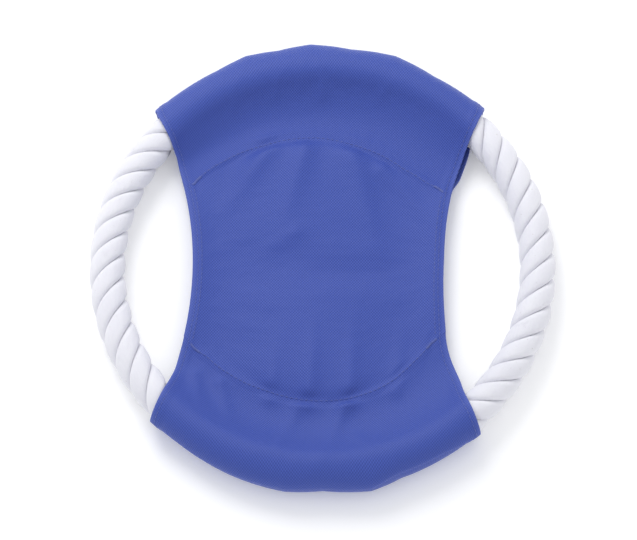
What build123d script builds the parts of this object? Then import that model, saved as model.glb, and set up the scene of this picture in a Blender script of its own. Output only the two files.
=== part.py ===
"""Flying ring for throwing: a three-strand cotton rope ring inside a two-layer polyester cover.

The ring lies flat. The origin is the middle of the ring on the surface it lies on, +Z is up,
and +Y points to the sleeve that hides the rope's joint. Millimetres throughout.

The rope is one length of right-hand laid rope, bent into a ring. Its two cut ends butt inside
the upper sleeve and are bound with tape. The cover is two equal panels with hollowed, hemmed
sides. Turned seams join them along the two rims. Two curved rows of stitching join them again
nearer the middle, which leaves a sleeve over the rope at the top and at the bottom, and a short
row closes each side between the curves. Every row is a lockstitch, with a needle thread on one
face and a bobbin thread on the other. The threads are pulled in flush with the cloth.
"""

import os
from math import acos, atan2, cos, degrees, hypot, pi, radians, sin, tan

from build123d import *

# ---- the rope ring ----
RING_DIAMETER = 230.0  # over the rope
ROPE_DIAMETER = 18.0
STRANDS = 3
LAYS = 17  # full turns of each strand round the ring
STRAND_RADIUS = 3.82
CORNERS_PER_LAY = 8  # the straight runs in one turn of a strand's path
ARC_SHARE = 0.45  # of each run, taken by the rounding arc at either end
JOINT_GAP = 0.3  # between the rope's butted ends
TAPE_LENGTH = 30.0
TAPE_THICKNESS = 0.18

ROPE_RADIUS = ROPE_DIAMETER / 2
RING_RADIUS = RING_DIAMETER / 2 - ROPE_RADIUS  # to the middle of the rope
STRAND_OFFSET = 5.11  # from the middle of the rope to the middle of a strand
ROPE_HEIGHT = 10.0  # of the middle of the rope above the ground

# ---- the cover ----
CLOTH = 0.45  # one layer of coated polyester
LAYER_GAP = 0.05
SLEEVE_RADIUS = 10.2  # outside of the cloth where it rounds the rope
SLEEVE_CENTRE = RING_RADIUS + 1.0  # the cloth stands off further on the outside of the ring
ALLOWANCE_ANGLE = 32.0  # how far the turned seam allowances reach below the rim
FOLD_ANGLE = 3.0  # taken by each panel's fold at the rim
CHANNEL_RADIUS = 68.5  # outer side of the curved stitching that closes the sleeves
FIELD_RADIUS = 69.0  # where the two layers part
FIELD_HEIGHT = 2.0  # of the plane between the two layers in the middle
GROUND_RADIUS = 92.0  # the back lies on the ground from here to under the rope
WAIST_HALF_WIDTH = 61.8
SIDE_RADIUS = 183.0  # of the hollowed sides

# ---- the stitching ----
THREAD_WIDTH = 0.34
THREAD_DEPTH = 0.15
HEM_INSET = 2.4  # from the side edge to the hem stitching
WAIST_INSET = 4.2  # from the side edge to the row that closes the side
RIM_STITCH_ANGLE = 4.5  # below the rim, through the turned allowances
TACK_WIDTH = 1.2
TACK_START = 3.4  # from the side edge
TACK_END = 8.0

SLEEVE_INNER = SLEEVE_RADIUS - CLOTH
SIDE_CENTRE = WAIST_HALF_WIDTH + SIDE_RADIUS
FRONT_BASE = FIELD_HEIGHT + LAYER_GAP / 2
FRONT_TOP = FRONT_BASE + CLOTH
BACK_TOP = FIELD_HEIGHT - LAYER_GAP / 2
BACK_BASE = BACK_TOP - CLOTH
BACK_ALLOWANCE = SLEEVE_INNER - LAYER_GAP  # outer radius of the back panel's allowance
FRONT_ALLOWANCE = BACK_ALLOWANCE - CLOTH - LAYER_GAP
TOOL_HEIGHT = 4 * SLEEVE_RADIUS
TOOL_WIDTH = 4 * RING_RADIUS


def front_tangent():
    """The angle on the sleeve's circle where the front layer's straight slope meets it."""
    across, up = FIELD_RADIUS - SLEEVE_CENTRE, FRONT_BASE - SLEEVE_RADIUS
    direction = degrees(atan2(up, across)) % 360
    return direction - degrees(acos(SLEEVE_INNER / hypot(across, up)))


TANGENT = front_tangent()


# ---- sections, drawn upright in the plane through the axis ----


def flat_run(*corners):
    """A run of straight lines through points given as (distance from the axis, height)."""
    return Polyline(*[(distance, 0, height) for distance, height in corners])


def sleeve_arc(radius, start, end):
    """An arc about the middle of the sleeve, angles from the outward direction."""

    def point(angle):
        a = radians(angle)
        return (SLEEVE_CENTRE + radius * cos(a), 0, SLEEVE_RADIUS + radius * sin(a))

    return ThreePointArc(point(start), point((start + end) / 2), point(end))


def outline(*runs):
    """A face bounded by the runs in turn, each joined to the next by a straight line."""
    joins = [Line(run @ 1, following @ 0) for run, following in zip(runs, runs[1:] + runs[:1])]
    return make_face([edge for run in (*runs, *joins) for edge in run.edges()])


def front_field(depth):
    """The flat middle of the front layer, at a depth above its underside."""
    mitre = depth * tan(radians(TANGENT - 90) / 2)
    return flat_run((0, FRONT_BASE + depth), (FIELD_RADIUS - mitre, FRONT_BASE + depth))


def back_run(depth):
    """The back layer's flat middle and its slope to the ground, at a depth above its underside."""
    middle = BACK_BASE + depth
    return flat_run((0, middle), (FIELD_RADIUS, middle), (GROUND_RADIUS, depth))


def backwards(run):
    corners = [run @ 0, *[edge @ 1 for edge in run.edges()]]
    return Polyline(*reversed(corners))


def front_section():
    """Field, slope, over the rope to the rim, and the allowance turned in below it."""
    return outline(
        front_field(0),
        sleeve_arc(SLEEVE_INNER, TANGENT, FOLD_ANGLE),
        sleeve_arc(FRONT_ALLOWANCE - CLOTH, FOLD_ANGLE, -ALLOWANCE_ANGLE),
        sleeve_arc(FRONT_ALLOWANCE, -ALLOWANCE_ANGLE, 0),
        sleeve_arc(SLEEVE_RADIUS, 0, TANGENT),
        backwards(front_field(CLOTH)),
    )


def back_section():
    """Field, slope down to the ground, up under the rope to the rim, and the turned allowance."""
    parting = -degrees(LAYER_GAP / SLEEVE_RADIUS)
    return outline(
        back_run(0),
        sleeve_arc(SLEEVE_RADIUS, -90, parting),
        sleeve_arc(BACK_ALLOWANCE - CLOTH, parting, -ALLOWANCE_ANGLE),
        sleeve_arc(BACK_ALLOWANCE, -ALLOWANCE_ANGLE, -FOLD_ANGLE),
        sleeve_arc(SLEEVE_INNER, -FOLD_ANGLE, -90),
        backwards(back_run(CLOTH)),
    )


def front_skin(depth):
    """A thread-thin skin of the front layer, starting at a depth above its underside."""
    lower = SLEEVE_INNER + depth
    return outline(
        front_field(depth),
        sleeve_arc(lower, TANGENT, FOLD_ANGLE),
        sleeve_arc(lower + THREAD_DEPTH, FOLD_ANGLE, TANGENT),
        backwards(front_field(depth + THREAD_DEPTH)),
    )


def back_skin(depth):
    """A thread-thin skin of the back layer, starting at a depth above its underside."""
    lower = SLEEVE_RADIUS - depth
    return outline(
        back_run(depth),
        sleeve_arc(lower, -90, -ALLOWANCE_ANGLE),
        sleeve_arc(lower - THREAD_DEPTH, -ALLOWANCE_ANGLE, -90),
        backwards(back_run(depth + THREAD_DEPTH)),
    )


def rim_stitch(inner):
    """The section of a rim thread, lying in an allowance from an inner radius outwards."""
    half_width = degrees(THREAD_WIDTH / 2 / inner)
    start, end = -RIM_STITCH_ANGLE - half_width, -RIM_STITCH_ANGLE + half_width
    return outline(sleeve_arc(inner, start, end), sleeve_arc(inner + THREAD_DEPTH, end, start))


def turned(profile):
    return revolve(profile, axis=Axis.Z)


# ---- cutting tools and flat rings ----


def beyond_side(inset, side):
    """Everything outside one hollowed side of the cover, pushed inwards by an inset."""
    return Pos(side * SIDE_CENTRE, 0, 0) * Cylinder(SIDE_RADIUS + inset, TOOL_HEIGHT)


def beyond_sides(inset=0.0):
    return beyond_side(inset, 1) + beyond_side(inset, -1)


def side_strip(inset, side):
    """An upright wall one thread wide that follows one side of the cover."""
    wall = beyond_side(inset + THREAD_WIDTH, side) - beyond_side(inset, side)
    return wall & Pos(side * TOOL_WIDTH / 2, 0, 0) * Box(TOOL_WIDTH, TOOL_WIDTH, TOOL_HEIGHT)


def flat_disc(radius, bottom, top):
    return Pos(0, 0, (bottom + top) / 2) * Cylinder(radius, top - bottom)


def channel_ring(width, bottom, top):
    """A flat ring just inside the curved stitching line."""
    return flat_disc(CHANNEL_RADIUS, bottom, top) - flat_disc(CHANNEL_RADIUS - width, bottom, top)


def half(shape, direction):
    """The part of a shape on the upper (+1) or lower (-1) side of the cover."""
    return shape & Pos(0, direction * TOOL_WIDTH / 2, 0) * Box(TOOL_WIDTH, TOOL_WIDTH, TOOL_HEIGHT)


# ---- the stitching ----


def hem_threads(layer, needle_skin, bobbin_skin):
    """Both threads of one layer's two side hems."""
    threads = {}
    for thread, skin in (("needle", needle_skin), ("bobbin", bobbin_skin)):
        for name, side in (("left", -1), ("right", 1)):
            threads[f"{layer}_{name}_hem_{thread}_thread"] = turned(skin) & side_strip(HEM_INSET, side)
    return threads


def field_threads(thread, bottom):
    """One face's threads of the two curved rows and the two short side rows."""
    top = bottom + THREAD_DEPTH
    curves = channel_ring(THREAD_WIDTH, bottom, top) - beyond_sides(TACK_END)
    disc = flat_disc(CHANNEL_RADIUS - TACK_WIDTH - THREAD_WIDTH, bottom, top)
    threads = {}
    for name, direction in (("upper", 1), ("lower", -1)):
        threads[f"{name}_channel_{thread}_thread"] = half(curves, direction)
    for name, side in (("left", -1), ("right", 1)):
        threads[f"{name}_waist_{thread}_thread"] = disc & side_strip(WAIST_INSET, side)
    return threads


def rim_threads(thread, inner):
    """The threads of the two rim seams that lie on one side of the turned allowances."""
    ring = turned(rim_stitch(inner)) - beyond_sides(HEM_INSET)
    return {
        f"upper_rim_{thread}_thread": half(ring, 1),
        f"lower_rim_{thread}_thread": half(ring, -1),
    }


def bar_tacks():
    """Four dense bars of stitching through both layers, at the ends of the curved rows."""
    ring = channel_ring(TACK_WIDTH, BACK_BASE, FRONT_TOP)
    return (ring & beyond_sides(TACK_END)) - beyond_sides(TACK_START)


# ---- the rope ----


def strand_corner(turns):
    """A corner of the first strand's path, some turns along it, outside the rounded path."""
    offset = STRAND_OFFSET / cos(pi / CORNERS_PER_LAY)
    along, twist = 2 * pi * turns / LAYS, -2 * pi * turns
    distance = RING_RADIUS + offset * cos(twist)
    return Vector(distance * cos(along), distance * sin(along), ROPE_HEIGHT + offset * sin(twist))


def rounding_radius(before, corner, after):
    """The radius that rounds a corner with arcs reaching a set share of the shorter run."""
    arriving, leaving = corner - before, after - corner
    turn = radians(arriving.get_angle(leaving))
    return ARC_SHARE * min(arriving.length, leaving.length) / tan(turn / 2)


def strand_lay():
    """One lay of a strand, between the middles of two straight runs a full turn apart."""
    corners = [strand_corner((k + 0.5) / CORNERS_PER_LAY) for k in range(-1, CORNERS_PER_LAY + 1)]
    radii = [rounding_radius(*three) for three in zip(corners, corners[1:], corners[2:])]
    start, end = (corners[0] + corners[1]) / 2, (corners[-2] + corners[-1]) / 2
    path = FilletPolyline(start, *corners[1:-1], end, radius=radii)
    return sweep(Plane(path @ 0, z_dir=path % 0) * Circle(STRAND_RADIUS), path=path)


def strands():
    """The three strands: equal lays joined into a ring and cut where the rope's ends meet."""
    lay = strand_lay()
    ring = lay + [Rot(0, 0, 360 * k / LAYS) * lay for k in range(1, LAYS)]
    cut = Pos(0, RING_RADIUS, ROPE_HEIGHT) * Box(JOINT_GAP, 2 * ROPE_DIAMETER, 2 * ROPE_DIAMETER)
    step = 360 / LAYS / STRANDS
    return {f"rope_strand_{k + 1}": Rot(0, 0, k * step) * ring - cut for k in range(STRANDS)}


def joint_tape():
    """Tape bound round the butted ends of the rope."""
    wall = Circle(ROPE_RADIUS + TAPE_THICKNESS) - Circle(ROPE_RADIUS)
    arc = degrees(TAPE_LENGTH / RING_RADIUS)
    tube = revolve(Plane.XZ * Pos(RING_RADIUS, ROPE_HEIGHT) * wall, axis=Axis.Z, revolution_arc=arc)
    return Rot(0, 0, 90 - arc / 2) * tube


def main():
    outer_depth = CLOTH - THREAD_DEPTH
    tacks = bar_tacks()
    front_threads = {
        **hem_threads("front", front_skin(outer_depth), front_skin(0)),
        **field_threads("needle", FRONT_TOP - THREAD_DEPTH),
        **rim_threads("needle", FRONT_ALLOWANCE - CLOTH),
    }
    back_threads = {
        **hem_threads("back", back_skin(0), back_skin(outer_depth)),
        **field_threads("bobbin", BACK_BASE),
        **rim_threads("bobbin", BACK_ALLOWANCE - THREAD_DEPTH),
    }
    sides = beyond_sides()
    nodes = {
        **strands(),
        "rope_joint_tape": joint_tape(),
        "front_panel": turned(front_section()) - [sides, tacks, *front_threads.values()],
        "back_panel": turned(back_section()) - [sides, tacks, *back_threads.values()],
        **front_threads,
        **back_threads,
        "bar_tacks": tacks,
    }
    os.makedirs("parts", exist_ok=True)
    for name, shape in nodes.items():
        export_step(shape, f"parts/{name}.step")


main()
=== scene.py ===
"""The looks of the flying ring: twisted cotton rope in the two sleeves of a sewn cloth cover.

The rope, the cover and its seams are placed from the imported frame. Lengths are in metres, unless a
comment says mm.
Both cloth panels are grids. Their rows run from the lower rim over the middle to the upper rim, and
their columns run from the left side to the right side. A seam is always one row or one column, so
its stitches lie on the cloth wherever the cloth goes.
"""

import math

import bpy
import numpy as np
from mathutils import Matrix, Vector


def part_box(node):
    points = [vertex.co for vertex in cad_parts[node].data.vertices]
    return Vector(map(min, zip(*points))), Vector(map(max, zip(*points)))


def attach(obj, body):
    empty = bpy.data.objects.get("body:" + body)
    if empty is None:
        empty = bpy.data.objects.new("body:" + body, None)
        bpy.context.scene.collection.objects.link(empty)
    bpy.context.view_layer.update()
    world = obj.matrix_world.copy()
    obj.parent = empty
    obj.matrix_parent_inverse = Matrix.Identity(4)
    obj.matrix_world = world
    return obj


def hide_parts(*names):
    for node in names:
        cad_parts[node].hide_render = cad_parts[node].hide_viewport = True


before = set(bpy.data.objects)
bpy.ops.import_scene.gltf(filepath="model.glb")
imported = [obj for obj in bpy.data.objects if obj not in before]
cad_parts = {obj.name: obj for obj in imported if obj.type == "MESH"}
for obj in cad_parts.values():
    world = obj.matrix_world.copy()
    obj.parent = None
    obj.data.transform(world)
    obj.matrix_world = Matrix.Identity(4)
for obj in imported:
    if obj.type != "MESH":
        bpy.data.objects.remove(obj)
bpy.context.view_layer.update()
MM = 0.001
DEGREE = math.pi / 180

# ---- the rope, from the frame ----
STRANDS = ("rope_strand_1", "rope_strand_2", "rope_strand_3")
ROPE_TOP = max(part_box(name)[1].z for name in STRANDS)
ROPE_BOTTOM = min(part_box(name)[0].z for name in STRANDS)
ROPE_RADIUS = (ROPE_TOP - ROPE_BOTTOM) / 2
ROPE_HEIGHT = (ROPE_TOP + ROPE_BOTTOM) / 2
RING_RADIUS = max(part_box(name)[1].x for name in STRANDS) - ROPE_RADIUS
CLEARANCE = ROPE_RADIUS + 0.42 * MM  # of the plain ring that the cloth drapes over
LAYS = 17  # full turns of each strand round the ring
JOINT_ANGLE = 90 * DEGREE  # where the rope's ends meet, from +X

# ---- the cover, from the frame and the CAD's own sizes ----
COVER_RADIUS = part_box("front_panel")[1].y
COVER_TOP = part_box("front_panel")[1].z
CORNER_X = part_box("front_panel")[1].x
CHANNEL_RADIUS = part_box("upper_channel_needle_thread")[1].y
FIELD_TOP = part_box("upper_channel_needle_thread")[1].z
SIDE_RADIUS = 183 * MM  # of the hollowed sides
CLOTH = 0.45 * MM
SLEEVE_RADIUS = COVER_TOP / 2  # to the outside of the cloth round the rope
SLEEVE_CENTRE = COVER_RADIUS - SLEEVE_RADIUS
FRONT_SLOPE_ANGLE = 116.7  # where the front's slope meets the round of the sleeve, in degrees
GROUND_RADIUS = 92 * MM  # the back lies on the ground from here to under the rope
SHEET_RADIUS = SLEEVE_RADIUS - CLOTH / 2  # to the middle of the cloth's thickness
FRONT_HEIGHT = FIELD_TOP - CLOTH / 2
BACK_HEIGHT = FRONT_HEIGHT - CLOTH - 0.05 * MM
CORNER_Y = math.sqrt(COVER_RADIUS**2 - CORNER_X**2)
SIDE_CENTRE = CORNER_X + math.sqrt(SIDE_RADIUS**2 - CORNER_Y**2)

# ---- the hem of a side edge: (mm in from the fold, turned under), from the raw edge to the cloth ----
HEM_LAYER = CLOTH + 0.05 * MM
HEM_PATH = [
    (4.7, 1), (3.8, 1), (3.2, 1), (2.57, 1), (1.9, 1), (1.2, 1), (0.6, 1), (0.25, 1), (0.07, 0.85),
    (0.0, 0.5),
    (0.07, 0.15), (0.25, 0), (0.6, 0), (1.2, 0), (1.9, 0), (2.57, 0), (3.2, 0), (3.8, 0), (4.37, 0),
    (5.0, 0), (5.7, 0),
]  # fmt: skip
HEM_INSET = 2.57  # mm in from the side edge
WAIST_INSET = 4.37  # mm
EDGE_BAND = 6.5  # mm; up to here the columns follow the side edge
HEM_COLUMN = HEM_PATH.index((HEM_INSET, 0))
HEM_UNDER_COLUMN = HEM_PATH.index((HEM_INSET, 1))
WAIST_COLUMN = HEM_PATH.index((WAIST_INSET, 0))

rng = np.random.default_rng(7)  # for the loose fibres, the only random draws in order


# ==== small tools ====


def unit(vectors):
    """The vectors at length 1."""
    return vectors / np.maximum(np.linalg.norm(vectors, axis=-1, keepdims=True), 1e-12)


def smooth(x, low, high):
    """0 below low, 1 above high, and a soft step between."""
    t = np.clip((x - low) / (high - low), 0, 1)
    return t * t * (3 - 2 * t)


def linked(name, data):
    """An object for a mesh, light or camera, linked into the scene."""
    made = bpy.data.objects.new(name, data)
    bpy.context.scene.collection.objects.link(made)
    return made


def make_object(name, points, faces, material, uvs, wear=None):
    """A smooth-shaded mesh object from arrays of points and faces."""
    mesh = bpy.data.meshes.new(name)
    mesh.from_pydata(np.asarray(points, float).tolist(), [], [list(map(int, face)) for face in faces])
    layer = mesh.uv_layers.new(name="cloth")
    corners = np.zeros(len(mesh.loops), np.int32)
    mesh.loops.foreach_get("vertex_index", corners)
    layer.data.foreach_set("uv", np.asarray(uvs, np.float32)[corners].ravel())
    if wear is not None:
        attribute = mesh.attributes.new("wear", "FLOAT", "POINT")
        attribute.data.foreach_set("value", np.asarray(wear, np.float32).ravel())
    mesh.polygons.foreach_set("use_smooth", np.ones(len(mesh.polygons), bool))
    mesh.materials.append(material)
    mesh.update()
    return linked(name, mesh)


def grid_normals(points):
    """Unit normals of a grid of points, up where columns run to +X and rows to +Y."""
    across = np.gradient(points, axis=1)
    along = np.gradient(points, axis=0)
    return unit(np.cross(across, along))


def grid_quads(rows, columns):
    """The faces of a grid of points, seen from above."""
    index = np.arange(rows * columns).reshape(rows, columns)
    return np.stack([index[:-1, :-1], index[:-1, 1:], index[1:, 1:], index[1:, :-1]], -1).reshape(-1, 4)


def thick_sheet(points, thickness):
    """A grid given thickness: its points and faces as a closed skin, upper face first."""
    rows, columns = points.shape[:2]
    normals = grid_normals(points)
    upper = (points + normals * thickness / 2).reshape(-1, 3)
    lower = (points - normals * thickness / 2).reshape(-1, 3)
    quads = grid_quads(rows, columns)
    index = np.arange(rows * columns).reshape(rows, columns)
    border = np.concatenate([index[0, :], index[1:, -1], index[-1, -2::-1], index[-2:0:-1, 0]])
    following = np.roll(border, -1)
    below = rows * columns
    rim = np.stack([border + below, following + below, following, border], -1)
    faces = np.concatenate([quads, quads[:, ::-1] + below, rim])
    return np.concatenate([upper, lower]), faces


def joined(parts):
    """Several (points, faces, uvs) as one."""
    points, faces, uvs = zip(*parts)
    starts = np.cumsum([0] + [len(p) for p in points])
    faces = [f + start for f, start in zip(faces, starts)]
    return np.concatenate(points), np.concatenate(faces), np.concatenate(uvs)


def ripple(position, pitch, seed):
    """Smooth noise from -1 to 1 along a line, with about one swell in every two pitches."""
    values = np.random.default_rng(seed).uniform(-1, 1, 4096)
    at = np.asarray(position) / pitch + 1500
    low = np.floor(at).astype(int)
    share = smooth(at - low, 0, 1)
    return values[low % 4096] * (1 - share) + values[(low + 1) % 4096] * share


def around_rope(ring_angle, radius, turn):
    """Points at a distance from the rope's own middle line; turn 0 is outwards and 90 degrees is up."""
    reach = RING_RADIUS + radius * np.cos(turn)
    height = ROPE_HEIGHT + radius * np.sin(turn)
    return np.stack([reach * np.cos(ring_angle), reach * np.sin(ring_angle), height], -1)


# ==== materials ====


class Nodes:
    """Short forms for building one node material."""

    def __init__(self, name):
        self.material = bpy.data.materials.new(name)
        self.material.use_nodes = True
        self.tree = self.material.node_tree
        self.shader = self.tree.nodes["Principled BSDF"]

    def node(self, kind, **settings):
        """A new shader node, with its settings."""
        made = self.tree.nodes.new("ShaderNode" + kind)
        for key, value in settings.items():
            setattr(made, key, value)
        return made

    def link(self, source, target):
        self.tree.links.new(source, target)

    def math(self, operation, first, second=0.0, third=0.0):
        """A Math node; each input is a number or an output socket."""
        made = self.node("Math", operation=operation)
        for socket, value in zip(made.inputs, (first, second, third)):
            if isinstance(value, (int, float)):
                socket.default_value = value
            else:
                self.link(value, socket)
        return made.outputs[0]

    def mix(self, factor, first, second):
        """A colour mix; factor is a socket or a number, and each colour is a socket or three numbers."""
        made = self.node("Mix", data_type="RGBA")
        sockets = (made.inputs[0], made.inputs[6], made.inputs[7])
        for socket, value in zip(sockets, (factor, first, second)):
            if isinstance(value, tuple):
                socket.default_value = (*value, 1)
            elif isinstance(value, (int, float)):
                socket.default_value = value
            else:
                self.link(value, socket)
        return made.outputs[2]

    def noise(self, vector, scale, detail=3.0, roughness=0.5):
        """A Noise node's value at a vector."""
        made = self.node("TexNoise")
        made.inputs["Scale"].default_value = scale
        made.inputs["Detail"].default_value = detail
        made.inputs["Roughness"].default_value = roughness
        self.link(vector, made.inputs["Vector"])
        return made.outputs["Fac"]

    def bump(self, height, distance, normal=None):
        """A Bump node's normal, on top of another bump's if there is one."""
        made = self.node("Bump")
        made.inputs["Distance"].default_value = distance
        made.inputs["Strength"].default_value = 1.0
        self.link(height, made.inputs["Height"])
        if normal is not None:
            self.link(normal, made.inputs["Normal"])
        return made.outputs["Normal"]


def weave(nodes, across, along, across_pitch, along_pitch):
    """The height of a plain weave, 0 to 1, from coordinates in metres and the spacing of its yarns."""
    warp = nodes.math("SINE", nodes.math("MULTIPLY", across, math.pi / across_pitch))
    weft = nodes.math("SINE", nodes.math("MULTIPLY", along, math.pi / along_pitch))
    return nodes.math("MULTIPLY_ADD", nodes.math("MULTIPLY", warp, weft), 0.5, 0.5)


def cloth_material():
    """Royal blue woven polyester: plain weave, slight shade drift, and paler worn edges."""
    n = Nodes("cover_cloth")
    where = n.node("UVMap", uv_map="cloth").outputs[0]
    split = n.node("SeparateXYZ")
    n.link(where, split.inputs[0])
    wander = n.math("MULTIPLY_ADD", n.noise(where, 900, 2), 0.00022, -0.00011)
    across = n.math("ADD", split.outputs[0], wander)
    along = n.math("ADD", split.outputs[1], wander)
    height = weave(n, across, along, 0.69 * MM, 0.77 * MM)
    drift = n.noise(where, 28, 4)
    slub = n.noise(where, 1400, 2)
    blue = n.mix(height, (0.013, 0.033, 0.225), (0.062, 0.110, 0.490))
    blue = n.mix(n.math("MULTIPLY", drift, 0.35), blue, (0.040, 0.076, 0.360))
    blue = n.mix(n.math("MULTIPLY", slub, 0.20), blue, (0.074, 0.126, 0.510))
    worn = n.node("Attribute", attribute_name="wear").outputs["Fac"]
    blue = n.mix(n.math("MULTIPLY", worn, 0.25), blue, (0.140, 0.185, 0.560))
    n.link(blue, n.shader.inputs["Base Color"])
    rough = n.math("MULTIPLY_ADD", height, -0.10, 0.56)
    n.link(rough, n.shader.inputs["Roughness"])
    n.shader.inputs["Sheen Weight"].default_value = 0.25
    n.shader.inputs["Sheen Roughness"].default_value = 0.4
    n.shader.inputs["Sheen Tint"].default_value = (0.55, 0.62, 1.0, 1)
    n.shader.inputs["Specular IOR Level"].default_value = 0.35
    grain = n.bump(slub, 0.00004)
    n.link(n.bump(height, 0.00014, grain), n.shader.inputs["Normal"])
    return n.material


def rope_material():
    """Soft white cotton: fine fibres along the rope, faint grey drift, and the odd speck."""
    n = Nodes("rope_cotton")
    where = n.node("UVMap", uv_map="cloth").outputs[0]
    stretched = n.node("Mapping")
    stretched.inputs["Scale"].default_value = (1.0, 0.12, 1.0)
    n.link(where, stretched.inputs[0])
    fibres = n.noise(stretched.outputs[0], 2600, 4, 0.65)
    yarns = n.noise(stretched.outputs[0], 900, 2)
    drift = n.noise(where, 60, 3)
    speck = n.math("GREATER_THAN", n.noise(where, 700, 1), 0.76)
    white = n.mix(drift, (0.750, 0.745, 0.815), (0.825, 0.822, 0.870))
    white = n.mix(n.math("MULTIPLY", fibres, 0.35), white, (0.880, 0.878, 0.905))
    white = n.mix(n.math("MULTIPLY", speck, 0.35), white, (0.470, 0.440, 0.390))
    n.link(white, n.shader.inputs["Base Color"])
    n.shader.inputs["Roughness"].default_value = 0.95
    n.shader.inputs["Subsurface Weight"].default_value = 0.35
    n.shader.inputs["Subsurface Radius"].default_value = (1.0, 0.95, 1.0)
    n.shader.inputs["Subsurface Scale"].default_value = 0.002
    n.shader.inputs["Sheen Weight"].default_value = 0.25
    n.shader.inputs["Sheen Roughness"].default_value = 0.6
    n.shader.inputs["Specular IOR Level"].default_value = 0.15
    coarse = n.bump(yarns, 0.00022)
    n.link(n.bump(fibres, 0.00016, coarse), n.shader.inputs["Normal"])
    return n.material


def thread_material(name, dark, light):
    """Sewing thread: two plies twisted together, in a dark and a light shade of its colour."""
    n = Nodes(name)
    where = n.node("UVMap", uv_map="cloth").outputs[0]
    split = n.node("SeparateXYZ")
    n.link(where, split.inputs[0])
    twist = n.math("ADD", n.math("MULTIPLY", split.outputs[0], 9000), split.outputs[1])
    ply = n.math("MULTIPLY_ADD", n.math("SINE", twist), 0.5, 0.5)
    n.link(n.mix(ply, dark, light), n.shader.inputs["Base Color"])
    n.shader.inputs["Roughness"].default_value = 0.5
    n.shader.inputs["Sheen Weight"].default_value = 0.2
    n.link(n.bump(ply, 0.00003), n.shader.inputs["Normal"])
    return n.material


def tape_material():
    """Unbleached cotton tape with a fine plain weave and a faintly blotchy tone."""
    n = Nodes("joint_tape")
    where = n.node("UVMap", uv_map="cloth").outputs[0]
    split = n.node("SeparateXYZ")
    n.link(where, split.inputs[0])
    height = weave(n, split.outputs[0], split.outputs[1], 0.4 * MM, 0.4 * MM)
    cream = n.mix(height, (0.620, 0.600, 0.545), (0.780, 0.765, 0.720))
    cream = n.mix(n.math("MULTIPLY", n.noise(where, 90, 4), 0.4), cream, (0.700, 0.675, 0.610))
    n.link(cream, n.shader.inputs["Base Color"])
    n.shader.inputs["Roughness"].default_value = 0.85
    n.shader.inputs["Sheen Weight"].default_value = 0.2
    n.link(n.bump(height, 0.00006), n.shader.inputs["Normal"])
    return n.material


CLOTH_BLUE = cloth_material()
COTTON = rope_material()
THREAD_BLUE = thread_material("sewing_thread", (0.050, 0.080, 0.320), (0.120, 0.165, 0.520))
TAPE_CREAM = tape_material()


# ==== the cover: where its cloth lies ====


def side_angle(radius, inset):
    """The angle from the Y axis where a circle about the middle meets a line inside the side edge."""
    reach = SIDE_RADIUS + inset
    x = (SIDE_CENTRE**2 + radius**2 - reach**2) / (2 * SIDE_CENTRE)
    return np.arcsin(np.clip(x / radius, -1, 1))


# the columns from left to right: share of the width inside the bands, side, inset in mm, turned under
INNER_COLUMNS = 150
LEFT_BAND = [(1.0, -1, inset, under) for inset, under in HEM_PATH]
MIDDLE = [(abs(c), math.copysign(1, c), EDGE_BAND, 0) for c in np.linspace(-1, 1, INNER_COLUMNS)]
RIGHT_BAND = [(1.0, 1, inset, under) for inset, under in reversed(HEM_PATH)]
SHARE, SIDE, INSET, UNDER = np.array(LEFT_BAND + MIDDLE + RIGHT_BAND, float).T
INSET = INSET * MM

# how the soft cover sits: (degrees to the right of the Y axis, mm outwards) along its two rims
UPPER_RIM = [
    (-46, 0.8), (-35, 0.8), (-26, 1.2), (-18, 3.2), (-10, 2.0),
    (-2, 3.5), (8, 1.4), (19, 2.6), (30, -0.3), (46, -0.3),
]  # fmt: skip
LOWER_RIM = [
    (-46, 0), (-36, -0.4), (-20, 1.0), (-8, 1.7), (1, 0),
    (13, 2.4), (22, 0), (34, -0.4), (46, -0.4),
]  # fmt: skip
# the same for the channel seams, by the share of the half width at which the cloth lies
UPPER_SEAM = [
    (-1, 17), (-0.92, 11), (-0.66, 6), (-0.37, 2.5), (0, 1.1),
    (0.2, -0.4), (0.62, -1), (0.8, 2), (0.96, 9), (1, 13),
]  # fmt: skip
LOWER_SEAM = [
    (-1, 12), (-0.8, 5), (-0.56, 3.2), (-0.33, 2), (0, 2.5),
    (0.3, 3), (0.55, 4.2), (0.75, 4.6), (0.9, 5.5), (1, 10),
]  # fmt: skip
# and for both side edges of the upper sleeve, by the distance behind the X axis in mm
UPPER_MOUTHS = [(58, 0), (72, 2.2), (79, 2.2), (88, -1.2)]
COVER_SLIP = -2.0 * MM  # the whole cover lies this far to the left
LOWER_RIGHT_TUCK = 8.5 * MM  # the lower right corner lies this far in
BACK_PEEK = 2.2 * MM  # the back shows this far past the front at the upper right
PEEK_MIDDLE = 52 * MM  # the Y at which it does
BACK_INWARDS = 1.3 * MM  # the back's corners lie this far inside the front's
FIELD_RISE = 8.0 * MM  # the pull between the sleeves holds the field this much off the ground
SEAM_VALLEY = 1.5 * MM  # the field swells up this much beside the stitches that hold it down
SEAM_VALLEY_WIDTH = 6.0 * MM
ROPE_INSIDE = 92 * MM  # from here outwards the sleeve is shaped by the rope
SLOPE_END = 97 * MM  # the rise of the field has died away here


def read_off(places, where):
    """Metres, between the places of a list of (where, mm)."""
    marks, reach = np.array(places).T
    return np.interp(where, marks, reach) * MM


def column_angles(radius):
    """Each column's angle from the Y axis on circles of these radii, shape (rows, columns)."""
    return SIDE * SHARE * side_angle(radius, INSET)


def rim_angle(angle, upper):
    """The rim seam's height, in degrees round the rope: it rides up at the lower right and left."""
    if upper:
        return 2 * np.sin(angle * 3)
    turn = angle / DEGREE
    right = 22 * smooth(turn, 10, 20) * smooth(-turn, -44, -33)
    left = 5 * smooth(-turn, 30, 42)
    return 2 + right + left


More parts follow.
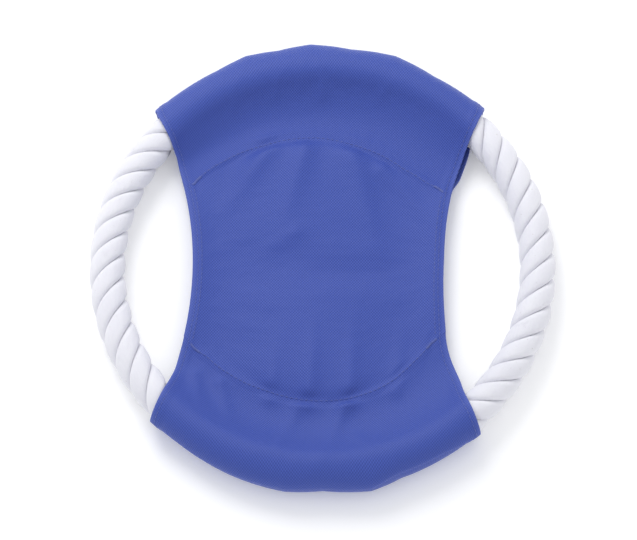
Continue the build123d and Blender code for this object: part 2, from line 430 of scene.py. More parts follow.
def on_sleeve(distance, angle):
    """(distance from the axis, height) of a point round the sleeve's own middle line."""
    a = np.asarray(angle) * DEGREE
    return SLEEVE_CENTRE + distance * np.cos(a), SLEEVE_RADIUS + distance * np.sin(a)


def section(corners, start, end, share):
    """Straight runs and then an arc round the sleeve: radius, height, length and normal at the shares."""
    corners = np.array(corners)
    steps = np.diff(corners, axis=0)
    lengths = np.hypot(*steps.T)
    straight = lengths.sum()
    arc = SHEET_RADIUS * np.abs(end - start) * DEGREE
    along = share * (straight + arc)
    marks = np.concatenate([[0], np.cumsum(lengths)])
    run = np.clip(np.searchsorted(marks, along) - 1, 0, len(steps) - 1)
    headings = np.arctan2(steps[:, 1], steps[:, 0])
    past = np.maximum(along - straight, 0)
    turning = np.sign(end - start)
    turned = start + turning * past / SHEET_RADIUS / DEGREE
    round_radius, round_height = on_sleeve(SHEET_RADIUS, turned)
    on_arc = along > straight
    radius = np.where(on_arc, round_radius, np.interp(along, marks, corners[:, 0]))
    height = np.where(on_arc, round_height, np.interp(along, marks, corners[:, 1]))
    heading = np.where(on_arc, (turned + 90 * turning) * DEGREE, headings[run])
    return radius, height, along, np.stack([-np.sin(heading), np.cos(heading)], -1)


TANGENT_POINT = on_sleeve(SHEET_RADIUS, FRONT_SLOPE_ANGLE)
FRONT_CORNERS = [(CHANNEL_RADIUS, FRONT_HEIGHT), TANGENT_POINT]
GROUND_HEIGHT = CLOTH / 2 + 0.02 * MM
BACK_CORNERS = [
    (CHANNEL_RADIUS, BACK_HEIGHT),
    (GROUND_RADIUS, GROUND_HEIGHT),
    (SLEEVE_CENTRE, GROUND_HEIGHT),
]

# the turned allowance past the rim: (mm from the middle of the sleeve, degrees below the rim)
FRONT_TURN = [
    (9.80, -0.6), (9.45, 0.2), (9.10, 1.2), (8.99, 2.8),
    (8.975, 4.5), (8.975, 12), (8.975, 22), (8.975, 32),
]  # fmt: skip
BACK_TURN = [
    (9.93, 0.4), (9.73, 0.1), (9.54, 0.4), (9.48, 1.8),
    (9.475, 4.5), (9.475, 12), (9.475, 22), (9.475, 32),
]  # fmt: skip
RIM_STITCH_ROW = 3  # the turned row at 4.5 degrees, counted from the raw edge
TURN_SPACING = 0.7 * MM  # between turned rows on the flat pattern
RIM_EDGE = 1.4  # degrees: each panel turns in this far short of the rim seam


class Panel:
    """A grid of cloth: points, unit normals, flat pattern, share lying on the ground, and reach.

    The reach is how far a point is from a channel seam, along the cloth and outwards.
    """

    def __init__(self, points, normals, pattern, ground):
        self.points = points
        self.normals = normals
        self.pattern = pattern
        self.ground = ground
        self.reach = np.hypot(pattern[..., 0], pattern[..., 1]) - CHANNEL_RADIUS


def swung(radius, height, angle, sign):
    """Points at these distances from the axis and angles from +Y (or from -Y for the lower sleeve)."""
    return np.stack([radius * np.sin(angle), sign * radius * np.cos(angle), height + 0 * angle], -1)


def sleeve_zone(front, upper, shares):
    """The rows of one sleeve, from its channel seam to its rim and on round the turned allowance."""
    share = np.asarray(shares)[:, None]
    corners, start = (FRONT_CORNERS, FRONT_SLOPE_ANGLE) if front else (BACK_CORNERS, -90.0)
    edge = RIM_EDGE if front else -RIM_EDGE
    sign = 1 if upper else -1
    angle = column_angles(np.full((len(shares), 1), COVER_RADIUS))
    for _ in range(3):  # radii and angles depend on each other
        rim = rim_angle(angle, upper)
        radius, height, along, normal = section(corners, start, rim + edge, share)
        angle = column_angles(radius)
    turn = np.array(FRONT_TURN if front else BACK_TURN)
    rim = rim_angle(angle[-1:], upper)
    turn_radius, turn_height = on_sleeve(turn[:, :1] * MM, rim - turn[:, 1:])
    turn_along = along[-1:] + (np.arange(len(turn))[:, None] + 1) * TURN_SPACING
    turn_normal = np.repeat(normal[-1:], len(turn), axis=0)
    push = read_off(UPPER_RIM if upper else LOWER_RIM, angle[-1:] / DEGREE)
    out = push * smooth(radius, SLEEVE_CENTRE - 2 * MM, COVER_RADIUS - 1 * MM)
    radius = np.concatenate([radius + out, turn_radius + out[-1:]])
    height = np.concatenate([height, turn_height])
    along = np.concatenate([along, turn_along])
    normal = np.concatenate([normal, turn_normal])
    angle = np.concatenate([angle, np.repeat(angle[-1:], len(turn), axis=0)])
    ground = smooth(radius, GROUND_RADIUS - 8 * MM, GROUND_RADIUS) * (0 if front else 1)
    ground = ground * smooth(-height, -6 * MM, -1 * MM)
    return Panel(
        swung(radius, height, angle, sign),
        swung(normal[..., 0], normal[..., 1], angle, sign),
        swung(CHANNEL_RADIUS + along, 0, angle, sign)[..., :2],
        ground,
    )


def field_zone(front, shares):
    """The rows between the two channel seams."""
    share = np.asarray(shares)[:, None]
    end_angle = column_angles(CHANNEL_RADIUS)[None, :]
    y = share * CHANNEL_RADIUS * np.cos(end_angle)
    end_y = CHANNEL_RADIUS * np.cos(side_angle(CHANNEL_RADIUS, INSET))[None, :]
    reach = SIDE_RADIUS + INSET[None, :]
    side_x = SIDE_CENTRE - np.sqrt(reach**2 - (share * end_y) ** 2)
    end_x = SIDE_CENTRE - np.sqrt(reach**2 - end_y**2)
    x = CHANNEL_RADIUS * np.sin(end_angle) * side_x / end_x
    points = np.stack([x, y, np.full_like(x, FRONT_HEIGHT if front else BACK_HEIGHT)], -1)
    normals = np.zeros_like(points)
    normals[..., 2] = 1
    return Panel(points, normals, points[..., :2].copy(), np.zeros_like(x))


def dense_shares(count, length, near_start, near_end):
    """Shares of a length, evenly spaced but with close rows at the ends, at distances in mm."""
    even = np.linspace(0, 1, count)
    starts = np.array(near_start) * MM / length
    ends = 1 - np.array(near_end) * MM / length
    kept = even[(even > starts.max() + 0.3 / count) & (even < ends.min() - 0.3 / count)]
    return np.concatenate([starts, kept, ends[::-1]])


SLEEVE_WIDTH = 57 * MM  # from a channel seam to its rim, along the cloth
SLEEVE_SHARES = dense_shares(66, SLEEVE_WIDTH, [0, 0.35, 0.8, 1.4, 2.2], [0, 0.3, 0.7, 1.2])
HALF_FIELD = dense_shares(50, CHANNEL_RADIUS, [0], [0.35, 0.8, 1.4, 2.2])
FIELD_SHARES = np.concatenate([-HALF_FIELD[:0:-1], HALF_FIELD])


def hem_offset(panel, front):
    """How far a hem lifts its cloth and turns it under, along the normals."""
    band = smooth(-INSET, -6.4 * MM, -3.6 * MM)[None, :]
    if front:
        return band * HEM_LAYER - UNDER[None, :] * HEM_LAYER
    return UNDER[None, :] * HEM_LAYER - band * HEM_LAYER * (1 - panel.ground)


def side_at(y):
    """Half the cover's width at a distance from the X axis."""
    return SIDE_CENTRE - np.sqrt(SIDE_RADIUS**2 - np.minimum(np.abs(y), CORNER_Y) ** 2)


def seam_shift(radius, y, share):
    """How far along Y a point moves with the uneven channel seams."""
    shift = np.where(y > 0, read_off(UPPER_SEAM, share), read_off(LOWER_SEAM, share))
    inside = smooth(radius, 25 * MM, CHANNEL_RADIUS) * smooth(np.abs(y), 0, 25 * MM)
    outside = smooth(-radius, -SLOPE_END, -CHANNEL_RADIUS)
    return np.sign(y) * shift * inside * outside


def moved_across(front, x, y, share):
    """The X of the points with the side edges uneven, but without the shift of the back's corners."""
    rightness = smooth(share, 0.1, 1.0)
    tucked = LOWER_RIGHT_TUCK * smooth(-y, -8 * MM, 72 * MM) * rightness
    peek = 0 if front else BACK_PEEK * smooth(-np.abs(y - PEEK_MIDDLE), -26 * MM, -8 * MM) * rightness
    mouth = np.sign(x) * read_off(UPPER_MOUTHS, y / MM) * smooth(np.abs(share), 0.5, 1.0)
    mouth = mouth * (1 if front else smooth(y, 80 * MM, 86 * MM))
    return x + COVER_SLIP - tucked + peek + mouth


def field_lift(radius):
    """How far the field and the slopes round it stand above the CAD's cloth."""
    from_seam = np.maximum(CHANNEL_RADIUS - radius, 0) / SEAM_VALLEY_WIDTH
    swell = SEAM_VALLEY * (1 - np.exp(-(from_seam**2)))
    down = np.clip((SLOPE_END - radius) / (SLOPE_END - CHANNEL_RADIUS), 0, 1)
    return (FIELD_RISE - SEAM_VALLEY) * down**2 * (2 - down) + swell


def settle(panel, front):
    """Shift the cloth to how it lies in use: seams off their circles, sides uneven, field held up."""
    x, y, height = np.moveaxis(panel.points, -1, 0)
    radius = np.hypot(x, y)
    share = x / side_at(y)
    new_y = y + seam_shift(radius, y, share)
    x = x * side_at(new_y) / side_at(y)
    new_x = moved_across(front, x, y, share)
    on_rope = smooth(radius, CHANNEL_RADIUS, ROPE_INSIDE)
    keep = 1 + on_rope * (np.hypot(x, new_y) / np.hypot(new_x, new_y) - 1)
    inwards = 0 if front else BACK_INWARDS * np.sign(x) * smooth(np.abs(y), 62 * MM, 84 * MM)
    new_x = new_x - inwards * np.abs(share)
    settled = np.stack([new_x * keep, new_y * keep, height + field_lift(radius)], -1)
    panel.pattern = panel.pattern + (settled - panel.points)[..., :2]
    panel.points = settled


def whole_panel(front):
    """A panel's grid, with its rows from the lower rim's turned edge to the upper one's."""
    lower = sleeve_zone(front, False, SLEEVE_SHARES)
    field = field_zone(front, FIELD_SHARES)
    upper = sleeve_zone(front, True, SLEEVE_SHARES)
    zones = [[part[::-1] for part in (lower.points, lower.normals, lower.pattern, lower.ground)]]
    zones += [[z.points, z.normals, z.pattern, z.ground] for z in (field, upper)]
    panel = Panel(*(np.concatenate(parts) for parts in zip(*zones)))
    panel.points = panel.points + panel.normals * hem_offset(panel, front)[..., None]
    settle(panel, front)
    return panel


TURN_ROWS = len(FRONT_TURN)
SLEEVE_ROWS = len(SLEEVE_SHARES) + TURN_ROWS
LOWER_CHANNEL_ROW = SLEEVE_ROWS - 1
UPPER_CHANNEL_ROW = SLEEVE_ROWS + len(FIELD_SHARES)
ROWS = 2 * SLEEVE_ROWS + len(FIELD_SHARES)
COLUMNS = len(INSET)


# ==== the cover: how its cloth drapes ====

SIM_SCALE = 10  # the solver works on a cloth ten times as large, because it is made for garments
SIM_STEP = 2  # every second row and column of the grid
SIM_FRAMES = 34
FRONT_SLACK = 0.003  # the share by which the cloth is larger than the shape it starts from
BACK_SLACK = 0.008
FRONT_PRESSURE = 6.5  # from below, on the field only
TIGHT_ROWS = 32  # this many rows in from a rim, the cloth moves freely
CLOSEST = ROPE_RADIUS + 0.30 * MM  # the cloth's middle is never nearer to the middle of the rope


def rows_from_rim():
    """For each row of a panel, how many rows it is in from the nearest rim."""
    row = np.arange(ROWS)
    return np.minimum(row, ROWS - 1 - row) - TURN_ROWS


def picked(marks):
    """Grid indices from the first mark to the last, about SIM_STEP apart, every mark among them."""
    out = []
    for a, b in zip(marks[:-1], marks[1:]):
        count = max(1, round((b - a) / SIM_STEP))
        out += [round(a + (b - a) * i / count) for i in range(count)]
    return np.array(out + [marks[-1]])


def obstacle(points, faces):
    """A hard body, at the solver's scale, that the cloth can't pass through."""
    mesh = bpy.data.meshes.new("obstacle")
    mesh.from_pydata((points * SIM_SCALE).tolist(), [], faces.tolist())
    made = linked("obstacle", mesh)
    made.modifiers.new("Collision", "COLLISION")
    made.collision.thickness_outer = 0.003
    made.collision.cloth_friction = 5
    made.collision.damping = 0.5
    return made


def smooth_rope():
    """The rope's clearance, as a plain ring."""
    steps, sides = 180, 32
    along = np.linspace(0, 2 * math.pi, steps, endpoint=False)[:, None]
    turn = np.linspace(0, 2 * math.pi, sides, endpoint=False)[None, :]
    points = around_rope(along + 0 * turn, CLEARANCE, turn + 0 * along)
    index = np.arange(steps * sides).reshape(steps, sides)
    ahead = np.roll(index, -1, axis=0)
    faces = np.stack([index, ahead, np.roll(ahead, -1, axis=1), np.roll(index, -1, axis=1)], -1)
    return obstacle(points.reshape(-1, 3), faces.reshape(-1, 4))


def flat_ground():
    """The ground, at the height of the middle of a cloth that lies on it."""
    corners = np.array([(-0.3, -0.3, 0), (0.3, -0.3, 0), (0.3, 0.3, 0), (-0.3, 0.3, 0)])
    return obstacle(corners + [0, 0, GROUND_HEIGHT], np.array([[0, 1, 2, 3]]))


def add_groups(cloth, rows, columns):
    """The points held by seams, which are the rims, channel seams and closed sides, and those between."""
    index = np.arange(len(rows) * len(columns)).reshape(len(rows), len(columns))
    field = (rows >= LOWER_CHANNEL_ROW) & (rows <= UPPER_CHANNEL_ROW)
    side = (columns <= WAIST_COLUMN) | (columns >= COLUMNS - 1 - WAIST_COLUMN)
    row_held = np.isin(rows, [rows[0], rows[-1], LOWER_CHANNEL_ROW, UPPER_CHANNEL_ROW])
    held = row_held[:, None] | (field[:, None] & side[None, :])
    cloth.vertex_groups.new(name="sewn").add(index[held].tolist(), 1.0, "REPLACE")
    cloth.vertex_groups.new(name="field").add(index[field].ravel().tolist(), 1.0, "REPLACE")


def drape(panel, slack, pressure):
    """Let the cloth between its seams hang and buckle, with a little more cloth than the shape needs."""
    first = HEM_PATH.index((0.25, 0))
    last = COLUMNS - 1 - first
    rows = picked([TURN_ROWS, LOWER_CHANNEL_ROW, UPPER_CHANNEL_ROW, ROWS - 1 - TURN_ROWS])
    columns = picked([first, WAIST_COLUMN, COLUMNS - 1 - WAIST_COLUMN, last])
    start = panel.points[np.ix_(rows, columns)]
    quads = grid_quads(len(rows), len(columns))
    mesh = bpy.data.meshes.new("cloth")
    mesh.from_pydata((start.reshape(-1, 3) * SIM_SCALE).tolist(), [], quads.tolist())
    cloth = linked("cloth", mesh)
    solver = cloth.modifiers.new("Cloth", "CLOTH")
    solver.point_cache.frame_end = SIM_FRAMES
    add_groups(cloth, rows, columns)
    set_cloth(solver, slack, pressure)
    hard = [smooth_rope(), flat_ground()]
    for moment in range(1, SIM_FRAMES + 1):
        bpy.context.scene.frame_set(moment)
    evaluated = cloth.evaluated_get(bpy.context.evaluated_depsgraph_get())
    found = np.zeros(start.size)
    evaluated.data.vertices.foreach_get("co", found)
    for used in (cloth, *hard):
        bpy.data.objects.remove(used)
    bpy.context.scene.frame_set(1)
    moved = spread(found.reshape(start.shape) / SIM_SCALE - start, rows, columns)
    loose = smooth(rows_from_rim(), 0, TIGHT_ROWS)  # the four layers at a rim hardly move
    panel.points = panel.points + moved * loose[:, None, None]


def set_cloth(solver, slack, pressure):
    """A light, fairly crisp coated polyester."""
    cloth = solver.settings
    cloth.quality = 6
    cloth.mass = 0.3
    cloth.tension_stiffness = 25
    cloth.compression_stiffness = 25
    cloth.shear_stiffness = 8
    cloth.bending_stiffness = 6
    cloth.tension_damping = 15
    cloth.compression_damping = 15
    cloth.shear_damping = 10
    cloth.bending_damping = 2
    cloth.air_damping = 3
    cloth.vertex_group_mass = "sewn"
    cloth.shrink_min = -slack
    cloth.use_pressure = True
    cloth.uniform_pressure_force = pressure
    cloth.vertex_group_pressure = "field"
    solver.collision_settings.distance_min = 0.003
    solver.collision_settings.collision_quality = 3


def twin_column(column):
    """The column whose single layer of cloth lies over or under a turned column."""
    if UNDER[column] == 0:
        return column
    single = np.flatnonzero((UNDER == 0) & (SIDE == SIDE[column]))
    return single[np.argmin(np.abs(INSET[single] - INSET[column]))]


def spread(moved, rows, columns):
    """The solver's moves, found on some rows and columns, for the whole grid."""
    twins = [twin_column(column) for column in range(COLUMNS)]
    every_row = np.arange(ROWS)
    wide = np.array([[np.interp(twins, columns, line[:, k]) for k in range(3)] for line in moved])
    full = np.array([[np.interp(every_row, rows, wide[:, k, c]) for k in range(3)] for c in range(COLUMNS)])
    full = full.transpose(2, 0, 1)
    for _ in range(2):
        full[1:-1] = full[1:-1] / 2 + (full[:-2] + full[2:]) / 4
        full[:, 1:-1] = full[:, 1:-1] / 2 + (full[:, :-2] + full[:, 2:]) / 4
    return full


def clear_of_rope(points, distance):
    """The points, pushed out from the rope's middle line where they are nearer to it than a distance."""
    x, y, height = np.moveaxis(points, -1, 0)
    radius = np.hypot(x, y)
    across = radius - RING_RADIUS
    up = height - ROPE_HEIGHT
    near = np.hypot(across, up)
    grow = np.maximum(distance / near, 1)
    new_radius = RING_RADIUS + across * grow
    return np.stack([x * new_radius / radius, y * new_radius / radius, ROPE_HEIGHT + up * grow], -1)


# soft folds of the front cloth, in mm: from (x, y), dying away to (x, y), half width, height
FOLDS = [
    ((-27, 64), (-52, 24), 8.0, 2.4),
    ((-9, 62), (-24, 8), 8.5, 2.0),
    ((15, 60), (30, -4), 9.0, 2.0),
    ((30, 52), (60, 18), 6.5, 1.4),
    ((-14, 17), (-34, 5), 7.0, 1.0),
    ((-26, -70), (-22, -34), 5.5, 1.0),
    ((-7, -72), (-4, -24), 6.0, 1.5),
    ((13, -72), (15, -22), 6.0, 1.5),
    ((35, -66), (39, -28), 6.0, 1.2),
    ((10, -74), (-4, -114), 6.0, 1.6),
    ((-12, -74), (-24, -104), 5.5, 1.1),
    ((-50, -62), (-44, -86), 5.0, 1.3),
    ((-62, -58), (-58, -82), 5.0, 1.1),
]  # fmt: skip
FOLD_STRENGTH = 1.35  # all fold heights are times this


def add_folds(panel):
    """Raise the cloth along the soft folds, but never at the channel seams that hold it down."""
    spot = panel.points[..., :2]
    free = smooth(np.abs(panel.reach), 0.8 * MM, 5 * MM)
    for start, end, half_width, height in FOLDS:
        start = np.array(start) * MM
        run = np.array(end) * MM - start
        along = np.clip(((spot - start) @ run) / (run @ run), 0, 1)
        away = np.linalg.norm(spot - start - along[..., None] * run, axis=-1)
        ridge = FOLD_STRENGTH * height * MM * (1 - along) / (1 + (away / (half_width * MM)) ** 2) ** 2
        panel.points[..., 2] += ridge * free


def keep_apart(front, back):
    """Hold the two cloths apart between the channel seams, and both off the ground."""
    field = slice(LOWER_CHANNEL_ROW, UPPER_CHANNEL_ROW + 1)
    back.points[..., 2] = np.maximum(back.points[..., 2], GROUND_HEIGHT)
    least = back.points[field, :, 2] + HEM_LAYER
    front.points[field, :, 2] = np.maximum(front.points[field, :, 2], least)


def edge_wear():
    """Paler along the hems and the rims, where the cloth rubs."""
    side = smooth(-INSET, -2.2 * MM, 0)[None, :] * np.ones((ROWS, 1))
    return np.maximum(side, smooth(-np.abs(rows_from_rim()), -4, 0)[:, None])


def cover_piece(name, panel):
    """One panel as a cloth object with its thickness."""
    points, faces = thick_sheet(panel.points, CLOTH)
    uvs = np.tile(panel.pattern.reshape(-1, 2), (2, 1))
    wear = np.tile(edge_wear().ravel(), 2)
    made = make_object(name + "_cloth", points, faces, CLOTH_BLUE, uvs, wear)
    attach(made, "cover")
    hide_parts(name)


# ==== the stitching ====

STITCH_LENGTH = 1.9 * MM
STITCH_GAP = 0.5 * MM
THREAD_RADIUS = 0.17 * MM
WAIST_GAP = 7  # rows between a channel seam and the short rows


def tube(path, normals, radius):
    """A six-sided tube along a path, closed at both ends: its points, faces and UVs."""
    tangents = unit(np.gradient(path, axis=0))
    across = unit(np.cross(tangents, normals))
    up = np.cross(across, tangents)
    turn = np.arange(6) * math.pi / 3
    ring = up[:, None] * np.cos(turn)[None, :, None] + across[:, None] * np.sin(turn)[None, :, None]
    points = (path[:, None] + ring * radius).reshape(-1, 3)
    index = np.arange(len(points)).reshape(-1, 6)
    after = np.roll(index, -1, axis=1)
    walls = np.stack([index[:-1], after[:-1], after[1:], index[1:]], -1).reshape(-1, 4)
    start_cap = index[0][[[0, 5, 4, 3], [0, 3, 2, 1]]]
    end_cap = index[-1][[[0, 1, 2, 3], [0, 3, 4, 5]]]
    length = np.concatenate([[0], np.cumsum(np.linalg.norm(np.diff(path, axis=0), axis=1))])
    uvs = np.stack(np.broadcast_arrays(length[:, None], turn[None, :]), -1).reshape(-1, 2)
    return points, np.concatenate([walls, start_cap, end_cap]), uvs


def between(places, marks, values):
    """Points or directions read off at places between marks."""
    return np.stack([np.interp(places, marks, values[:, k]) for k in range(3)], -1)


def row_of_stitches(path, normals):
    """Stitches one after another along a path on the cloth, each diving in at its ends."""
    marks = np.concatenate([[0], np.cumsum(np.linalg.norm(np.diff(path, axis=0), axis=1))])
    count = int(marks[-1] // (STITCH_LENGTH + STITCH_GAP))
    pitch = marks[-1] / count
    share = np.linspace(0, 1, 9)
    lift = THREAD_RADIUS * (2.1 * np.sin(math.pi * share) ** 0.5 - 1.2)  # its ends are inside the cloth
    stitches = []
    for number in range(count):
        at = (number + 0.1) * pitch + share * STITCH_LENGTH
        centre = between(at, marks, path)
        up = unit(between(at, marks, normals))
        stitches.append(tube(centre + up * lift[:, None], up, THREAD_RADIUS))
    return stitches


def seam_path(panel, rows, columns, face):
    """The points and normals on one face of a panel along part of a row or a column."""
    normals = grid_normals(panel.points)[rows, columns].reshape(-1, 3) * face
    return panel.points[rows, columns].reshape(-1, 3) + normals * CLOTH / 2, normals


def thread_piece(node, tubes):
    """One object in place of one of the frame's thread nodes."""
    points, faces, uvs = joined(tubes)
    points = clear_of_rope(points, ROPE_RADIUS)  # the rope presses the stitches inside the sleeves flat
    points[:, 2] = np.maximum(points[:, 2], 0)  # and the ground those under the back
    made = make_object(node + "_stitches", points, faces, THREAD_BLUE, uvs)
    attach(made, "cover")
    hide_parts(node)


def seams():
    """Where each thread node's stitches run: node -> (front panel or not, rows, columns, face)."""
    skinned = slice(TURN_ROWS, ROWS - TURN_ROWS)
    sides = {"left": lambda column: column, "right": lambda column: COLUMNS - 1 - column}
    places = {}
    for side, mirror in sides.items():
        for layer, front in (("front", True), ("back", False)):
            face = 1 if front else -1
            needle = (front, skinned, mirror(HEM_COLUMN), face)
            bobbin = (front, skinned, mirror(HEM_UNDER_COLUMN), face)
            places[f"{layer}_{side}_hem_needle_thread"] = needle
            places[f"{layer}_{side}_hem_bobbin_thread"] = bobbin
        waist = slice(LOWER_CHANNEL_ROW + WAIST_GAP, UPPER_CHANNEL_ROW + 1 - WAIST_GAP)
        places[f"{side}_waist_needle_thread"] = (True, waist, mirror(WAIST_COLUMN), 1)
        places[f"{side}_waist_bobbin_thread"] = (False, waist, mirror(WAIST_COLUMN), -1)
    across = slice(WAIST_COLUMN, COLUMNS - WAIST_COLUMN)
    for end, channel, rim in (
        ("lower", LOWER_CHANNEL_ROW, RIM_STITCH_ROW),
        ("upper", UPPER_CHANNEL_ROW, ROWS - 1 - RIM_STITCH_ROW),
    ):
        places[f"{end}_channel_needle_thread"] = (True, channel, across, 1)
        places[f"{end}_channel_bobbin_thread"] = (False, channel, across, -1)
        places[f"{end}_rim_needle_thread"] = (True, rim, slice(0, COLUMNS), -1)
        places[f"{end}_rim_bobbin_thread"] = (False, rim, slice(0, COLUMNS), 1)
    return places


TACK_COLUMNS = 9
TACK_POINTS = 61
TACK_HALF_WIDTH = 0.55 * MM


def bar_tack(panel, row, column, inward):
    """A dense zigzag along the end of a channel seam, on the front."""
    run = slice(column, column + inward * TACK_COLUMNS, inward)
    points = panel.points[row, run]
    normals = grid_normals(panel.points)[row, run]
    place = np.linspace(0, TACK_COLUMNS - 1, TACK_POINTS)
    marks = np.arange(TACK_COLUMNS)
    base = between(place, marks, points)
    up = unit(between(place, marks, normals))
    along = unit(np.gradient(base, axis=0))
    aside = np.cross(up, along)
    swing = TACK_HALF_WIDTH * np.where(np.arange(TACK_POINTS) % 4 < 2, 1, -1)
    lift = CLOTH / 2 + THREAD_RADIUS * 0.2
    path = base + aside * swing[:, None] + up * lift
    return tube(path, up, THREAD_RADIUS)


# ==== the rope ====

FACE_STEPS = 61  # points across a strand's face
HALF_STRAND = 60 * DEGREE
STEPS_PER_LAY = 44
YARNS = 40  # ridges that would fit round the whole rope
GROOVE_DEPTH = 0.20  # share of the rope's radius
BUTT_GAP = 0.15 * MM  # half the space between the rope's two ends


def strand_outline():
    """A strand's section: (angle from its middle, share of the rope's radius), round its face and back."""
    face = np.linspace(-0.99, 0.99, FACE_STEPS)
    bulge = 1 - 0.09 * face**2 - GROOVE_DEPTH * np.abs(face) ** 7
    wall = np.linspace(0.92, 0.18, 5) * bulge[-1]
    turned = np.concatenate([face, np.full(5, 0.985), np.full(5, -0.985)])
    return turned * HALF_STRAND, np.concatenate([bulge, wall, wall[::-1]])


def rope_strand(number):
    """One soft strand laid round the ring, with yarn ridges that run almost straight along the rope."""
    half_gap = BUTT_GAP / RING_RADIUS
    steps = LAYS * STEPS_PER_LAY
    ring_angle = JOINT_ANGLE + np.linspace(half_gap, 2 * math.pi - half_gap, steps)[:, None]
    arc = (ring_angle - JOINT_ANGLE) * RING_RADIUS
    turned, share = strand_outline()
    turn = -LAYS * ring_angle + number * 2 * math.pi / 3 + turned[None, :]
    drift = 0.5 * ripple(arc + 40 * MM * turn, 16 * MM, 20 + number)
    ridge = np.abs(np.sin(turn * YARNS / 2 + drift)) ** 0.7 - 0.6
    soft = ripple(arc * 0.6 + turn * 9 * MM, 4 * MM, 30 + number)
    on_face = smooth(-np.abs(turned) / HALF_STRAND, -0.96, -0.7)[None, :]
    swell = (0.07 * ridge * on_face + 0.025 * soft - 0.06) * MM
    radius = share[None, :] * (ROPE_RADIUS + swell)
    points = around_rope(ring_angle, radius, turn)
    sides = points.shape[1]
    index = np.arange(steps * sides).reshape(steps, sides)
    after = np.roll(index, -1, axis=1)
    walls = np.stack([index[:-1], index[1:], after[1:], after[:-1]], -1).reshape(-1, 4)
    faces = walls.tolist() + [index[0].tolist(), index[-1][::-1].tolist()]
    uvs = np.stack(np.broadcast_arrays(turn * ROPE_RADIUS, arc), -1).reshape(-1, 2)
    made = make_object(f"strand_{number + 1}", points.reshape(-1, 3), faces, COTTON, uvs)
    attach(made, "rope_ring")
    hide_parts(STRANDS[number])


TAPE_LENGTH = 30 * MM
TAPE_THICKNESS = 0.07 * MM
TAPE_OVERLAP = 50 * DEGREE


def joint_tape():
    """The tape over the rope's butted ends, wound once round with its end lapped over its start."""
    half = TAPE_LENGTH / RING_RADIUS / 2
    ring_angle = JOINT_ANGLE + np.linspace(-half, half, 61)[None, :]
    wound = np.linspace(0, 2 * math.pi + TAPE_OVERLAP, 181)[:, None]
    lap = 0.09 * MM * smooth(wound, 2 * math.pi - 25 * DEGREE, 2 * math.pi)
    crease = 0.02 * MM * ripple((ring_angle - JOINT_ANGLE) * RING_RADIUS + wound * 2 * MM, 3 * MM, 41)
    radius = ROPE_RADIUS + 0.07 * MM + lap + crease
    points = around_rope(ring_angle, radius, wound - 120 * DEGREE)
    skin, faces = thick_sheet(points, TAPE_THICKNESS)
    flat = np.stack(np.broadcast_arrays((ring_angle - JOINT_ANGLE) * RING_RADIUS, wound * ROPE_RADIUS), -1)
    uvs = np.tile(flat.reshape(-1, 2), (2, 1))
    made = make_object("tape_wrap", skin, faces, TAPE_CREAM, uvs)
    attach(made, "rope_ring")
    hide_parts("rope_joint_tape")


FIBRES = 320
FIBRE_RADIUS = 0.03 * MM


def loose_fibres():
    """Fine cotton ends that stand a little off the strands."""
    tubes = []
    share = np.linspace(0, 1, 8)
    for _ in range(FIBRES):
        start = rng.uniform(0, 2 * math.pi)
        turn = rng.uniform(0, 2 * math.pi)
        length = rng.uniform(2, 6) * MM
        heading = rng.uniform(-1.2, 1.2)
        curl = 0.5 * rng.uniform(-1, 1) * share**2
        ring_angle = start + share * length * math.cos(heading) / RING_RADIUS
        turns = turn + (share * math.sin(heading) + curl) * length / ROPE_RADIUS
        lift = rng.uniform(0.05, 0.24) * MM * np.sin(math.pi * share * 0.8)
        path = around_rope(ring_angle, ROPE_RADIUS - 0.06 * MM + lift, turns)
        up = unit(path - around_rope(ring_angle, 0 * lift, turns))
        tubes.append(tube(path, up, FIBRE_RADIUS))
    points, faces, uvs = joined(tubes)
    made = make_object("rope_loose_fibres", points, faces, COTTON, uvs)
    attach(made, "rope_ring")


# ==== the studio ====

FLOOR_REACH = 3.0
FLOOR_GLOW = 0.13  # a little light of its own, so that it reads as white paper
KEY_PLACE = Vector((-0.30, 0.70, 0.80))
KEY_SIZE = 0.6
KEY_POWER = 4.9  # watts
SURROUNDINGS = (0.97, 0.98, 1.0, 1)
SURROUNDINGS_STRENGTH = 0.84
VIEW_HEIGHT = 67 * DEGREE  # the camera's angle above the ground
CAMERA_DISTANCE = 1.6
SENSOR = 36  # mm
VIEW_WIDTH = 0.3137  # across the picture at the object
AIM = Vector((-0.0020, -0.0027, ROPE_HEIGHT))


def white_floor():
    """A pale, plain floor at Z = 0."""
    mesh = bpy.data.meshes.new("floor")
    corners = [(-1, -1, 0), (1, -1, 0), (1, 1, 0), (-1, 1, 0)]
    mesh.from_pydata([(x * FLOOR_REACH, y * FLOOR_REACH, z) for x, y, z in corners], [], [(0, 1, 2, 3)])
    n = Nodes("floor_white")
    n.shader.inputs["Base Color"].default_value = (0.96, 0.96, 0.96, 1)
    n.shader.inputs["Roughness"].default_value = 0.9
    n.shader.inputs["Specular IOR Level"].default_value = 0.0
    n.shader.inputs["Emission Color"].default_value = (1, 1, 1, 1)
    n.shader.inputs["Emission Strength"].default_value = FLOOR_GLOW
    mesh.materials.append(n.material)
    return linked("floor", mesh)


def key_light():
    """A soft round light from behind the object, at the left."""
    light = bpy.data.lights.new("key", "AREA")
    light.shape = "DISK"
    light.size = KEY_SIZE
    light.energy = KEY_POWER
    key = linked("key", light)
    key.location = KEY_PLACE
    key.rotation_euler = (-KEY_PLACE).to_track_quat("-Z", "Y").to_euler()
    return key


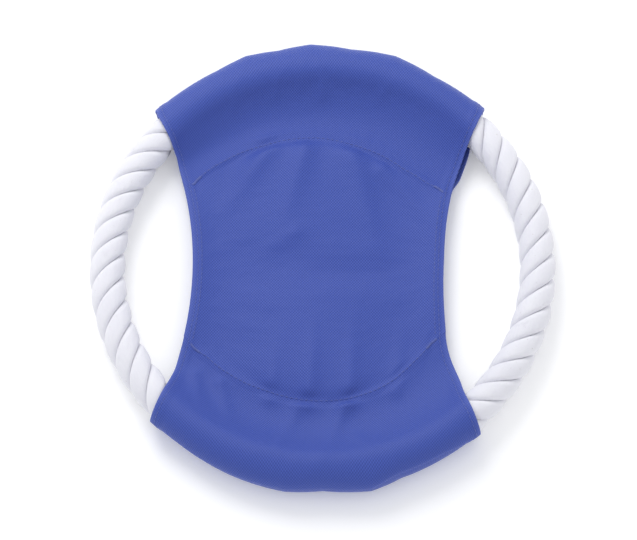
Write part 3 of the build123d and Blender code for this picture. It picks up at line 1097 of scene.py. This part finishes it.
def white_surroundings():
    """Even light from all round."""
    world = bpy.data.worlds.new("surroundings")
    world.use_nodes = True
    background = world.node_tree.nodes["Background"]
    background.inputs["Color"].default_value = SURROUNDINGS
    background.inputs["Strength"].default_value = SURROUNDINGS_STRENGTH
    bpy.context.scene.world = world


def photo_camera():
    """The camera, looking down at the photo's angle."""
    lens = bpy.data.cameras.new("camera")
    lens.sensor_width = SENSOR
    lens.lens = SENSOR * CAMERA_DISTANCE / VIEW_WIDTH
    camera = linked("camera", lens)
    away = Vector((0, -math.cos(VIEW_HEIGHT), math.sin(VIEW_HEIGHT)))
    camera.location = AIM + away * CAMERA_DISTANCE
    camera.rotation_euler = (-away).to_track_quat("-Z", "Y").to_euler()
    bpy.context.scene.camera = camera
    return camera


def studio():
    """The floor, the lights and the camera, kept out of the object's own pieces."""
    white_surroundings()
    white_floor()
    key_light()
    photo_camera()
    bpy.context.scene.view_settings.view_transform = "Standard"


# ==== the whole object ====


def sewn_cover():
    """Both panels, draped, and every row of stitches on them."""
    panels = {True: whole_panel(True), False: whole_panel(False)}  # front, back
    drape(panels[True], FRONT_SLACK, FRONT_PRESSURE)
    drape(panels[False], BACK_SLACK, 0)
    add_folds(panels[True])
    for panel in panels.values():
        panel.points = clear_of_rope(panel.points, CLOSEST)
    keep_apart(panels[True], panels[False])
    cover_piece("front_panel", panels[True])
    cover_piece("back_panel", panels[False])
    for node, (front, rows, columns, face) in seams().items():
        path = seam_path(panels[front], rows, columns, face)
        thread_piece(node, row_of_stitches(*path))
    tacks = []
    for row in (LOWER_CHANNEL_ROW, UPPER_CHANNEL_ROW):
        for column, inward in ((WAIST_COLUMN - 1, 1), (COLUMNS - WAIST_COLUMN, -1)):
            tacks.append(bar_tack(panels[True], row, column, inward))
    thread_piece("bar_tacks", tacks)


def rope_ring():
    """The rope's three strands, the tape over its joint, and its loose fibres."""
    for number in range(len(STRANDS)):
        rope_strand(number)
    joint_tape()
    loose_fibres()


sewn_cover()
rope_ring()
studio()
